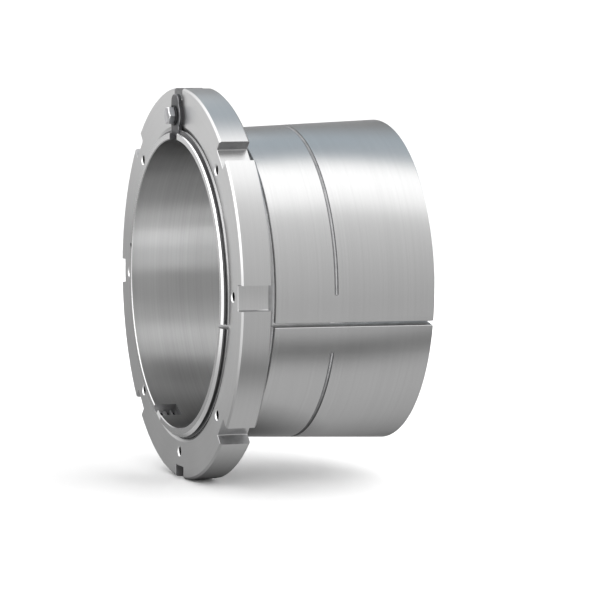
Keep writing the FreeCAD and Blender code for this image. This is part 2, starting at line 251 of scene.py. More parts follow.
def threaded(radius_at, pitch, crest_x, clock):
    """Gives the function that makes a threaded stretch of rows between two X places.

    Its rows follow the helix, and radius_at gives the radius at each of their points.
    """
    def stretch(low, high, corners=CORNER_ROWS):
        x, per_pitch = helix_rows(low, high, pitch, crest_x, clock, corners)
        return x, radius_at(x), per_pitch
    return stretch


def turned_mesh(name, blocks, clock, lift=0.0, loop=False):
    """Mesh of blocks of rows turned round a line along X that lies lift above the X axis."""
    x, radius, seam = stack_rows(blocks, len(clock))
    points = on_clock(x, radius, clock, lift)
    return fill_mesh(name, points.reshape(-1, 3), grid_faces(len(x), len(clock), seam, loop))


def solid_object(name, mesh, materials=()):
    """Links an object for a mesh at the origin, with its materials."""
    piece = bpy.data.objects.new(name, mesh)
    for material in materials:
        mesh.materials.append(material)
    bpy.context.scene.collection.objects.link(piece)
    return piece


def cut_away(piece, cutters, material):
    """Takes closed meshes out of a piece; the faces that they leave get this one of its materials."""
    index = piece.data.materials.find(material.name)
    work = bmesh.new()
    for cutter in cutters:
        work.from_mesh(cutter)
    for face in work.faces:
        face.material_index = index
    joined = bpy.data.meshes.new(f"{piece.name}_cuts")
    work.to_mesh(joined)
    work.free()
    tool = solid_object(f"{piece.name}_cuts", joined, piece.data.materials)
    modifier = piece.modifiers.new("cuts", "BOOLEAN")
    modifier.operation = "DIFFERENCE"
    modifier.solver = "MANIFOLD"
    modifier.object = tool
    bpy.context.view_layer.update()
    evaluated = piece.evaluated_get(bpy.context.evaluated_depsgraph_get())
    result = bpy.data.meshes.new_from_object(evaluated)
    piece.modifiers.clear()
    piece.data = result
    result.name = piece.name
    bpy.data.objects.remove(tool)


def paint_faces(piece, old, new, is_wanted):
    """Gives faces of one material another, where their middle's X, Y and Z pass a test."""
    faces, materials = piece.data.polygons, piece.data.materials
    middle, index = np.empty(len(faces) * 3, np.float32), np.empty(len(faces), np.int32)
    faces.foreach_get("center", middle)
    faces.foreach_get("material_index", index)
    x, y, z = middle.reshape(-1, 3).T / MM
    index[(index == materials.find(old.name)) & is_wanted(x, y, z)] = materials.find(new.name)
    faces.foreach_set("material_index", index)


def finish_piece(piece, node, sharp_degrees=28):
    """Smooth shading with crisp edges, and its place on the body."""
    mesh = piece.data
    mesh.shade_smooth()
    mesh.set_sharp_from_angle(angle=math.radians(sharp_degrees))
    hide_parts(node)
    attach(piece, ROOT_BODY)


def slot_cutter(name, clock_degrees, stations, corner=0.0, steps=4):
    """Solid across a radius at a clock angle, through stations along X.

    A station is X, half width, floor radius, top radius and, if it flares, half width at the top.
    The two corners at the floor are rounded by the corner radius.
    """
    swing = np.radians(np.linspace(0, 90, steps)) if corner else np.array([0.0])
    dip, rise = corner * (1 - np.cos(swing)), corner * (1 - np.sin(swing))
    rows = []
    for x, half, floor, top, *flare in stations:
        wide = flare[0] if flare else half
        across = np.concatenate([dip - half, (half - dip)[::-1], [wide, -wide]])
        out = np.concatenate([floor + rise, (floor + rise)[::-1], [top, top]])
        rows.append(beside_clock(x, across, out, math.radians(clock_degrees)))
    return carried_solid(name, np.stack(rows))


def hole_cutter(name, stations, columns, axis_y=0.0, axis_z=0.0):
    """Solid turned about an axis along X, through stations of an X place and a radius, from 0 to 0."""
    x, radius = (np.array(v, float)[:, None] for v in zip(*stations))
    clock = np.arange(columns) * TURN / columns
    points = on_clock(x, radius, clock)
    points[..., 1] += axis_y
    points[..., 2] += axis_z
    return fill_mesh(name, points.reshape(-1, 3), grid_faces(len(stations), columns))


# Materials

# Finishes that several faces share, and the widths of the faint blotches and clouds, in mm
GROUND = {"roughness": 0.24, "line_mm": 0.9, "depth_mm": 0.003, "tone": 0.05}
TURNED = {"roughness": 0.3, "line_mm": 0.7, "depth_mm": 0.004, "tone": 0.05}
BLOTCH_MM = 55.6
CLOUD_MM = 8.33


def linear(hex_value):
    """Linear RGB of an sRGB hex colour."""
    channels = [int(hex_value[i:i + 2], 16) / 255 for i in (0, 2, 4)]
    return [c / 12.92 if c <= 0.04045 else ((c + 0.055) / 1.055) ** 2.4 for c in channels]


def add_node(tree, kind, settings=None, **inputs):
    """One node with its settings, and with its inputs set to values or linked to other nodes.

    An input's name is its socket's, in lower case with underscores, or in_0, in_1 by place. A link
    comes from the socket that is given, or from the first output of a node.
    """
    node = tree.nodes.new(kind)
    for key, value in (settings or {}).items():
        setattr(node, key, value)
    for key, value in inputs.items():
        if key.startswith("in_"):
            socket = node.inputs[int(key[3:])]
        else:
            socket = next(s for s in node.inputs if s.name.lower().replace(" ", "_") == key)
        if isinstance(value, bpy.types.Node):
            value = value.outputs[0]
        if isinstance(value, bpy.types.NodeSocket):
            tree.links.new(value, socket)
        else:
            socket.default_value = value
    return node


def new_material(name):
    """A material with its nodes on."""
    material = bpy.data.materials.new(name)
    material.use_nodes = True
    return material


def dress_metal(material, colour, shade, dull, relief):
    """Links patterns to a metal's shader.

    shade and dull are (noise node, value in its low parts, value in its high ones). The one scales
    the colour, and the other is the roughness. relief is (height node, depth in mm, strength).
    """
    tree = material.node_tree
    shade, dull = (
        add_node(
            tree, "ShaderNodeMapRange",
            value=noise, from_min=0.3, from_max=0.7, to_min=low, to_max=high)
        for noise, low, high in (shade, dull))
    tint = add_node(
        tree, "ShaderNodeVectorMath", {"operation": "SCALE"}, in_0=tuple(colour), scale=shade)
    height, depth_mm, strength = relief
    bump = add_node(
        tree, "ShaderNodeBump", strength=strength, distance=depth_mm * MM, height=height)
    for name, node in (("Base Color", tint), ("Roughness", dull), ("Normal", bump)):
        tree.links.new(node.outputs[0], tree.nodes["Principled BSDF"].inputs[name])


def turned_metal(name, colour, roughness, line_mm, depth_mm, tone, spread=0.0):
    """Turned or ground metal: fine rings round the X axis, as a noise of X and the radius.

    The rings are six parts of a noise of line_mm and four of one six times as wide. tone is how far
    they change the colour, and spread how far they stretch a reflection across themselves. Real
    rings are a tenth of a millimetre wide or less, too fine to show, so they are drawn about a
    millimetre wide. Faint blotches about 56 mm wide change the roughness, as handling does.
    """
    material = new_material(name)
    tree = material.node_tree
    shader = tree.nodes["Principled BSDF"]
    shader.inputs["Metallic"].default_value = 1.0
    place = add_node(tree, "ShaderNodeTexCoord").outputs["Object"]
    axes = add_node(tree, "ShaderNodeSeparateXYZ", in_0=place)
    flat = add_node(tree, "ShaderNodeCombineXYZ", in_1=axes.outputs[1], in_2=axes.outputs[2])
    radius = add_node(tree, "ShaderNodeVectorMath", {"operation": "LENGTH"}, in_0=flat)
    rings = add_node(
        tree, "ShaderNodeCombineXYZ", in_0=axes.outputs[0], in_1=radius.outputs["Value"])
    fine = add_node(tree, "ShaderNodeTexNoise", scale=1 / (line_mm * MM), detail=2.0, vector=rings)
    broad = add_node(
        tree, "ShaderNodeTexNoise", scale=1 / (6 * line_mm * MM), detail=3.0, vector=rings)
    blotch = add_node(
        tree, "ShaderNodeTexNoise", scale=1 / (BLOTCH_MM * MM), detail=4.0, vector=place)
    fine_part = add_node(tree, "ShaderNodeMath", {"operation": "MULTIPLY"}, in_0=fine, in_1=0.6)
    lines = add_node(
        tree, "ShaderNodeMath", {"operation": "MULTIPLY_ADD"},
        in_0=broad, in_1=0.4, in_2=fine_part)
    dress_metal(
        material, colour, (lines, 1 - tone, 1 + tone * 0.4),
        (blotch, roughness * 0.92, roughness * 1.1), (lines, depth_mm, 1.0))
    if spread:
        along = add_node(
            tree, "ShaderNodeVectorMath", {"operation": "CROSS_PRODUCT"}, in_0=(1, 0, 0), in_1=place)
        facing = add_node(tree, "ShaderNodeNewGeometry").outputs["Normal"]
        across = add_node(
            tree, "ShaderNodeVectorMath", {"operation": "CROSS_PRODUCT"}, in_0=along, in_1=facing)
        tree.links.new(across.outputs[0], shader.inputs["Tangent"])
        shader.inputs["Anisotropic"].default_value = spread
    return material


def coated_metal(name, colour, roughness, grain_mm, metallic):
    """Coated or milled metal: a fine pitted grain, and clouds of colour about 8 mm wide.

    The real grain is a few hundredths of a millimetre, too fine to show, so it is drawn a few
    tenths wide.
    """
    material = new_material(name)
    tree = material.node_tree
    tree.nodes["Principled BSDF"].inputs["Metallic"].default_value = metallic
    place = add_node(tree, "ShaderNodeTexCoord").outputs["Object"]
    grain = add_node(
        tree, "ShaderNodeTexNoise", scale=1 / (grain_mm * MM), detail=3.0, vector=place)
    cloud = add_node(
        tree, "ShaderNodeTexNoise", scale=1 / (CLOUD_MM * MM), detail=2.0, vector=place)
    dress_metal(
        material, colour, (cloud, 0.85, 1.12), (grain, roughness * 0.9, roughness * 1.15),
        (grain, 0.02, 0.5))
    return material


def milled_metal(name, colour):
    """Milled, sawn, drilled or threaded steel: duller than the turned faces, so an even soft grey."""
    return coated_metal(name, colour, roughness=0.45, grain_mm=0.4, metallic=1.0)


# Brightness of the studio, as a grey or as RGB, by degrees round the X axis: -90 is the floor below,
# 0 the horizon at -Y, 90 straight above and 180 the horizon at +Y
BARREL_LIGHT = (
    (-180, 0.6), (-172, 0.28), (-158, 0.24), (-135, 0.38), (-118, 0.52), (-90, 0.61), (-66, 0.64),
    (-59, 0.54), (-52, 0.26), (-46, 0.18), (-41, 0.32), (-36, 0.56), (-28, 0.66), (-15, 0.6),
    (12, 0.7), (36, 0.83), (46, 0.91), (54, 1.04), (60, 1.36), (66, 1.6), (76, 1.76), (88, 1.84),
    (94, 1.75), (99, 1.4), (105, (0.78, 0.83, 0.87)), (111, (0.5, 0.56, 0.61)),
    (130, (0.55, 0.63, 0.69)), (143, (0.45, 0.49, 0.52)), (158, 0.33), (168, 0.36), (180, 0.6),
)
BORE_LIGHT = (
    (-180, 0.37), (-165, 0.36), (-150, 0.42), (-130, 0.55), (-115, 0.2), (-100, 0.18), (-86, 0.6),
    (-72, 1.8), (-55, 3.4), (-38, 4.0), (-15, 3.2), (15, 2.9), (40, 3.1), (58, 3.3), (70, 1.8),
    (84, 0.6), (100, 0.18), (114, 0.2), (126, 1.2), (142, 0.75), (155, 0.4), (170, 0.36), (180, 0.37),
)
CHAMFER_LIGHT = (
    (-180, 0.37), (-150, 0.4), (-125, 0.45), (-105, 0.45), (-90, 0.44), (-76, 0.64),
    (-60, 1.25), (-36, 1.25), (-10, 1.2), (5, 1.4), (20, 1.9), (45, 2.3), (85, 2.6), (98, 2.4),
    (115, 2.1), (128, 1.6), (142, 1.0), (155, 0.5), (180, 0.37),
)

# Strengths of the lamps in watts: the card that the nut's flat face mirrors, and the floor's lamps
CARD_POWER = 5.3
FLOOR_POWER = 17.0

# The card's tilt in degrees, and the middle of its lower edge in metres
CARD_TILT = 54.6
CARD_EDGE = (-0.257, 0.8, 0.0103)

# Soft strips inside the bore that only its walls mirror: clock in degrees, width in mm, brightness
BORE_STRIPS = (
    (202, 60, 0.25), (174, 60, 0.8), (144, 60, 2.0), (116, 60, 1.4), (80, 80, 0.4),
    (50, 54, 0.55), (26, 54, 1.2), (2, 54, 0.6),
)

# The floor's height in mm, just under the nut, and the points round it
FLOOR_Z = NUT_LOW[2] - 0.4
FLOOR_COLUMNS = 96

# The photo's camera: its place in metres, the way from the part back to it, and its lens in mm
CAMERA_PLACE = (-1.0405, -3.2377, 0.2709)
CAMERA_BACK = (-0.33749, -0.93757, 0.08405)
CAMERA_LENS = 210.67


# Settings that a user would change

class AdapterSleeveSizes(PropertyGroup):
    thread_pitch: FloatProperty(
        name="Thread pitch", description="Pitch of the sleeve's and the nut's thread, in mm",
        default=6.0, min=1.0)
    thread_depth: FloatProperty(
        name="Thread depth", description="Depth of the sleeve's and the nut's thread, in mm",
        default=3.5, min=0.5)
    crest_place: FloatProperty(
        name="Crest place", description="Where a crest crosses clock 0, along X in mm", default=-0.6)
    columns: IntProperty(
        name="Columns", description="Points round the sleeve and the nut", default=288, min=48)
    screw_pitch: FloatProperty(
        name="Screw pitch", description="Pitch of the clip's screw, in mm", default=1.5, min=0.5)
    edge_break: FloatProperty(
        name="Edge break", description="Small chamfer along the slots' edges, in mm",
        default=0.4, min=0.05)


def colour_setting(name, what, hex_value):
    """A colour property whose default is an sRGB hex colour."""
    return FloatVectorProperty(
        name=name, description=f"Colour of {what}", subtype="COLOR", size=3, default=linear(hex_value))


class AdapterSleeveColours(PropertyGroup):
    sleeve_steel: colour_setting("Sleeve steel", "the ground sleeve", "CBCBCB")
    # Painted shade: the bore's grey is darker than the sleeve's, for the shade inside the bore
    sleeve_bore: colour_setting("Sleeve bore", "the sleeve's honed bore", "A6A6A6")
    # Painted shade: the thread's dark grey stands for the shade in its roots and flanks
    sleeve_thread_shade: colour_setting("Sleeve thread", "the sleeve's thread", "666667")
    slit_steel: colour_setting("Slit steel", "the sleeve's sawn slit", "BEBEBE")
    # Painted shade: the grooves', relief's and spare keyway's darker grey stands for their shade
    groove_shade: colour_setting(
        "Groove steel", "the sleeve's oil groove, thread relief and spare keyway", "9A9A9B")
    # Painted shade: the keyway's and oil port's dark grey stands for the shade in them
    keyway_shade: colour_setting("Keyway steel", "the sleeve's locking keyway and oil port", "6A6A6B")
    # Painted highlight: near white for the small chamfers that catch the light
    edge_highlight: colour_setting("Edge steel", "the brightest small chamfers", "F4F4F4")
    nut_steel: colour_setting("Nut steel", "the turned nut", "CBCBCB")
    # Painted shade: the nut thread's darker grey stands for the shade inside the nut
    nut_thread_shade: colour_setting("Nut thread", "the nut's thread", "9C9C9D")
    # Painted shade: the slot walls' grey is darker than the nut's, for the shade in the slots
    slot_steel: colour_setting("Slot steel", "the walls of the nut's slots", "A6A6A7")
    # Painted shade: nearly black for the shade deep in the holes and the thread's root
    hole_steel: colour_setting("Hole steel", "the nut's tapped holes", "3C3C3D")
    clip_phosphate: colour_setting("Clip phosphate", "the clip's dark phosphate coat", "4A4A4C")
    # Painted highlight: a lighter grey for the light line along the clip's front edge
    clip_edge_highlight: colour_setting("Clip edge", "the clip's worn round edge", "727274")
    # This colour also makes the clip's outline sides darker than its front
    washer_oxide: colour_setting("Washer oxide", "the washer's black oxide", "2E2E30")
    screw_zinc: colour_setting("Screw zinc", "the zinc plated screw", "8A8B8E")
    screw_front: colour_setting("Screw front", "the turned front of the screw's head", "BCBCBE")
    floor_white: colour_setting("Floor white", "the studio floor", "F2F2F2")


# Pieces

def seat_radius(x):
    """Radius of the taper: it starts past the relief and grows by a 24th of the way along X."""
    return SEAT_START_R + (x - RELIEF_X[1]) * SEAT_SLOPE


def sleeve_mesh(sizes):
    """The sleeve's wall: its outline, from the bore round its outside and back, turned round X.

    The oil groove's section is the lower half of a circle. At each end of the groove the circle
    shrinks to nothing, by the root of 1 - (1 - s) ** 2, where s is the way from the end over its radius.
    """
    slit, groove_end = math.radians(SLIT_CLOCK), math.radians(GROOVE_END_CLOCK)
    near_end = groove_end + np.linspace(0, 1.2 * GROOVE_BALL_R, 13) / SEAT_START_R
    clock = slit + np.unique(np.concatenate([
        np.arange(sizes.columns) * TURN / sizes.columns, near_end, TURN - near_end]))
    pitch, depth, crest_x = sizes.thread_pitch, sizes.thread_depth, sizes.crest_place

    def thread_radius(x):
        """Root radius plus depth times the thread's height, cut by the cones of its lead and tail."""
        height = thread_height((x - crest_x) / pitch - clock / TURN)
        lead = LEAD_START_R + (x - SLEEVE_START)
        tail = RELIEF_R + (RELIEF_X[0] - x) * (THREAD_CREST_R - RELIEF_R) / THREAD_TAIL
        whole = THREAD_CREST_R - depth + depth * height
        return np.minimum(np.minimum(whole, lead), np.maximum(tail, RELIEF_R))

    to_end = np.minimum(clock - slit, slit + TURN - clock) - groove_end
    inside = np.clip(to_end * SEAT_START_R / GROOVE_BALL_R, 0, 1)
    ball_r = GROOVE_BALL_R * np.sqrt(1 - (1 - inside) ** 2)
    swing = np.radians(np.linspace(-90, 90, 15))[:, None]
    groove_x = OIL_GROOVE_X + ball_r * np.sin(swing)
    groove_r = seat_radius(groove_x) - ball_r * np.cos(swing)

    start, end, (relief_start, relief_end) = SLEEVE_START, SLEEVE_END, RELIEF_X
    thread = threaded(thread_radius, pitch, crest_x, clock)
    rim = 1.0
    rim_r = seat_radius(end - rim)
    blocks = [
        (start + BORE_BREAK, BORE_R), (start, BORE_R + BORE_BREAK), (start, LEAD_START_R - 0.15),
        thread(start, LEAD_END, FINE_ROWS),
        thread(LEAD_END, relief_start - THREAD_TAIL),
        thread(relief_start - THREAD_TAIL, relief_start, FINE_ROWS),
        (relief_start + 0.3, RELIEF_R), (relief_end - 0.6, RELIEF_R),
        (relief_end - 0.2, RELIEF_R + 0.15), (relief_end, RELIEF_R + 0.6),
        (relief_end, SEAT_START_R - 0.4), (relief_end + 0.4, SEAT_START_R),
        *zip(groove_x, groove_r),
        (end - rim, rim_r), (end - 0.25 * rim, rim_r - 0.35 * rim), (end, rim_r - rim),
        (end, BORE_R + BORE_BREAK), (end - BORE_BREAK, BORE_R),
    ]
    return turned_mesh("split_sleeve", blocks, clock, loop=True)


def slit_cutters(edge):
    """The slit, whose sides flare in a quarter circle at the big end's rim, and its edges' breaks."""
    walls = (CUT_INSIDE_R, CUT_OUTSIDE_R)
    mouth_x = SLEEVE_END - SLIT_MOUTH_R
    stations = [(x, SLIT_HALF, *walls) for x in (SLEEVE_START - CUT_PAST, mouth_x)]
    for step in np.linspace(0, 1, 7)[1:]:
        flare = SLIT_MOUTH_R * (1 - math.sqrt(1 - (0.98 * step) ** 2))
        stations.append((mouth_x + SLIT_MOUTH_R * step, SLIT_HALF + flare, *walls))
    stations.append((SLEEVE_END + CUT_PAST, SLIT_HALF + flare, *walls))
    breaks = [
        (x, SLIT_HALF, seat_radius(x) - edge, seat_radius(x) + CUT_PAST, SLIT_HALF + edge + CUT_PAST)
        for x in (RELIEF_X[1] + 0.4, SLEEVE_END)]
    return slot_cutter("slit", SLIT_CLOCK, stations), slot_cutter("slit_edges", SLIT_CLOCK, breaks)


def keyway_cutter(name, clock_degrees, edge):
    """A keyway through the wall at the small end, wider by its break where it starts."""
    start = SLEEVE_START
    places = ((start - CUT_PAST, edge), (start, edge), (start + edge, 0), (KEY_END_X, 0))
    return slot_cutter(name, clock_degrees, [
        (x, KEY_HALF + wider, CUT_INSIDE_R, CUT_OUTSIDE_R) for x, wider in places])


def port_cutter():
    """The tapped oil port opposite the slit, with its mouth, and the duct on to the oil groove."""
    turn = math.radians(SLIT_CLOCK + 180)
    start, past, port_r, duct_r, depth = SLEEVE_START, 2, 2.1, 1.5, 12
    return hole_cutter("oil_port", [
        (start - past, 0), (start - past, port_r + 2.5), (start, port_r + 0.5), (start + 0.5, port_r),
        (start + depth, port_r), (start + depth + 0.4, duct_r),
        (OIL_GROOVE_X + 1.2, duct_r), (OIL_GROOVE_X + 1.2, 0)],
        32, -OIL_PORT_R * math.sin(turn), OIL_PORT_R * math.cos(turn))


class ADAPTER_OT_sleeve(Operator):
    """Split tapered sleeve with its real thread, oil groove, keyways and oil port"""
    bl_idname = "adapter.sleeve"
    bl_label = "Sleeve"

    def execute(self, context):
        sizes, colours = context.scene.adapter_sizes, context.scene.adapter_colours
        # Ground bearing steel: bright, with faint fine rings that blur a reflection only a little
        steel = turned_metal("ground_bearing_steel", colours.sleeve_steel, **GROUND)
        # A saw leaves the slit's walls a light even grey
        sawn = milled_metal("sawn_sleeve_steel", colours.slit_steel)
        # The locking keyway and the oil port are milled and drilled; their dark grey is painted shade,
        # for the shade in these hollows
        milled = milled_metal("milled_sleeve_steel", colours.keyway_shade)
        # Honing makes the bore silky: a reflection streaks along it, across its faint rings. Its grey is
        # darker than the seat's as painted shade for the inside of the bore
        honed = turned_metal(
            "honed_bore_steel", colours.sleeve_bore, roughness=0.31, line_mm=1.2, depth_mm=0.003,
            tone=0.12, spread=0.86)
        # Rough turned or milled: the grooves, the thread relief and the spare keyway are duller than the
        # seat, and their darker grey is painted shade for these recesses
        grooved = milled_metal("grooved_sleeve_steel", colours.groove_shade)
        # The thread's cut flanks and roots are painted a dark grey, as shade, between its bright crests
        shaded_thread = milled_metal("threaded_sleeve_steel", colours.sleeve_thread_shade)
        # The lead chamfer is painted near white: a painted highlight that shows as a white line
        bright = turned_metal("bright_sleeve_chamfer", colours.edge_highlight, **GROUND)
        piece = solid_object("split_sleeve", sleeve_mesh(sizes), (
            steel, sawn, milled, honed, grooved, shaded_thread, bright))

        edge = sizes.edge_break
        slit, slit_edges = slit_cutters(edge)
        cut_away(piece, [slit], sawn)
        cut_away(piece, [slit_edges], steel)
        # Painted shade: the keyway and the oil port leave faces in the dark grey
        cut_away(piece, [keyway_cutter("locking_keyway", 0.0, edge), port_cutter()], milled)
        # Painted shade: the spare keyway leaves faces in the darker grey
        cut_away(piece, [keyway_cutter("spare_keyway", SPARE_KEY_CLOCK, edge)], grooved)

        start, (relief_start, relief_end) = SLEEVE_START, RELIEF_X
        paint_faces(piece, steel, honed, lambda x, y, z: np.hypot(y, z) < BORE_R + 0.2)
        # Painted shade: the thread's roots and flanks get the dark grey
        paint_faces(piece, steel, shaded_thread, lambda x, y, z: (
            (x > start + 0.5) & (x < relief_start) & (np.hypot(y, z) > LEAD_START_R)
            & (np.hypot(y, z) < np.minimum(LEAD_START_R + x - start, THREAD_CREST_R) - 0.15)))
        # Painted shade: the thread relief and the oil groove get the darker grey
        paint_faces(piece, steel, grooved, lambda x, y, z: (
            (x > relief_start) & (x < relief_end - 0.15) & (np.hypot(y, z) < SEAT_START_R - 0.1)))
        paint_faces(piece, steel, grooved, lambda x, y, z: (
            (np.abs(x - OIL_GROOVE_X) < GROOVE_BALL_R) & (np.hypot(y, z) < seat_radius(x) - 0.1)))
        # Painted highlight: the lead chamfer gets the near white
        paint_faces(piece, steel, bright, lambda x, y, z: (
            (x > start + 0.02) & (x < LEAD_END) & (np.hypot(y, z) > LEAD_START_R - 0.2)))
        finish_piece(piece, "sleeve")
        return {"FINISHED"}


def nut_mesh(sizes):
    """The nut's ring: its outline, from the threaded bore round its rim and back, turned round X."""
    front, back = 0.0, NUT_HIGH[0]
    # Its rim is wider than the sleeve, so it has more columns, from midway between two slots
    columns = sizes.columns + 72
    clock = np.arange(columns) * TURN / columns + TURN / (2 * HOLE_COUNT)
    pitch, depth, crest_x = sizes.thread_pitch, sizes.thread_depth, sizes.crest_place
    lead_depth = (NUT_FACE_R - (NUT_CREST_R - depth)) / NUT_LEAD_SLOPE

    def bore_radius(x):
        """Like the sleeve's thread half a millimetre further out, opened by a cone at both ends."""
        height = thread_height((x - crest_x) / pitch - clock / TURN)
        cone = NUT_FACE_R - np.minimum(x - front, back - x) * NUT_LEAD_SLOPE
        return np.maximum(NUT_CREST_R - depth + depth * height, cone)

    thread = threaded(bore_radius, pitch, crest_x, clock)
    edge, land_r = 1.8, NUT_FACE_R + 0.3
    blocks = [
        thread(front, front + lead_depth, FINE_ROWS),
        thread(front + lead_depth, back - lead_depth),
        thread(back - lead_depth, back, FINE_ROWS),
        (back, land_r), (back, NUT_R - edge), (back - edge, NUT_R), (front + edge, NUT_R),
        (front, NUT_R - edge), (front, land_r)]
    return turned_mesh("slotted_nut", blocks, clock, loop=True)


def nut_cutters(small):
    """The slots across the rim, with their edges' breaks, and the tapped holes in the front face."""
    front, back = 0.0, NUT_HIGH[0]
    half, floor, hole_r, depth, mouth = SLOT_WIDTH / 2, SLOT_FLOOR_R, 4.5, 20, 1.0
    slots, holes = [], []
    for number in range(HOLE_COUNT):
        degrees = 360 / HOLE_COUNT * number
        places = (
            (front - CUT_PAST, small), (front, small), (front + small, 0), (back - small, 0),
            (back, small), (back + CUT_PAST, small))
        slots.append(slot_cutter(
            f"rim_slot_{number}", degrees,
            [(x, half + wider, floor - wider, CUT_RIM_R) for x, wider in places], SLOT_CORNER_R))
        turn = math.radians(degrees)
        holes.append(hole_cutter(f"screw_hole_{number}", [
            (front - mouth, 0), (front - mouth, hole_r + 2 * mouth), (front, hole_r + mouth),
            (front + mouth, hole_r), (front + depth, hole_r), (front + depth + 2.4, 0)],
            40, -SCREW_CIRCLE_R * math.sin(turn), SCREW_CIRCLE_R * math.cos(turn)))
    return slots, holes


def on_slot_floor(x, y, z):
    """A slot's floor with its two round corners, measured along the slot's own middle line."""
    step = TURN / HOLE_COUNT
    clock = np.arctan2(-y, z)
    beside = clock - np.round(clock / step) * step
    return np.hypot(y, z) * np.cos(beside) < SLOT_FLOOR_R + SLOT_CORNER_R - 0.1


class ADAPTER_OT_lock_nut(Operator):
    """Round nut with its inner thread, spanner slots and threaded holes"""
    bl_idname = "adapter.lock_nut"
    bl_label = "Lock nut"

    def execute(self, context):
        sizes, colours = context.scene.adapter_sizes, context.scene.adapter_colours
        # Turned carbon steel: bright, with rings that catch the light on its face
        steel = turned_metal("turned_nut_steel", colours.nut_steel, **TURNED)
        # The slots' walls are milled, and a little duller than the turned faces; their darker grey is
        # painted shade for the inside of the slots
        slot_wall = milled_metal("milled_nut_steel", colours.slot_steel)
        # Painted shade: the tapped holes and the root of the thread are coloured nearly black, for the
        # shade deep in them
        deep = milled_metal("tapped_nut_steel", colours.hole_steel)
        # The thread's flanks are cut, and painted a darker grey as shade
        shaded_thread = milled_metal("threaded_nut_steel", colours.nut_thread_shade)
        # The turned chamfers round the holes' mouths are painted near white: painted highlights that
        # show as white rings
        bright = turned_metal("bright_hole_chamfer", colours.edge_highlight, **TURNED)
        piece = solid_object(
            "slotted_nut", nut_mesh(sizes), (steel, slot_wall, deep, shaded_thread, bright))
        slots, holes = nut_cutters(sizes.edge_break)
        # Painted shade: the slots leave walls in the darker grey
        cut_away(piece, slots, slot_wall)
        # Painted shade: the holes leave faces in the nearly black grey
        cut_away(piece, holes, deep)
        paint_faces(piece, slot_wall, steel, on_slot_floor)
        # Painted highlight: the holes' mouths get the near white
        paint_faces(piece, deep, bright, lambda x, y, z: x < 1.2)
        # Painted shade: the thread inside the nut gets the darker grey
        paint_faces(piece, steel, shaded_thread, lambda x, y, z: (x > 1.6) & (np.hypot(y, z) < NUT_FACE_R))
        # Painted shade: the thread's root gets the nearly black grey
        paint_faces(piece, shaded_thread, deep, lambda x, y, z: np.hypot(y, z) > NUT_CREST_R - 0.8)
        finish_piece(piece, "lock_nut")
        return {"FINISHED"}


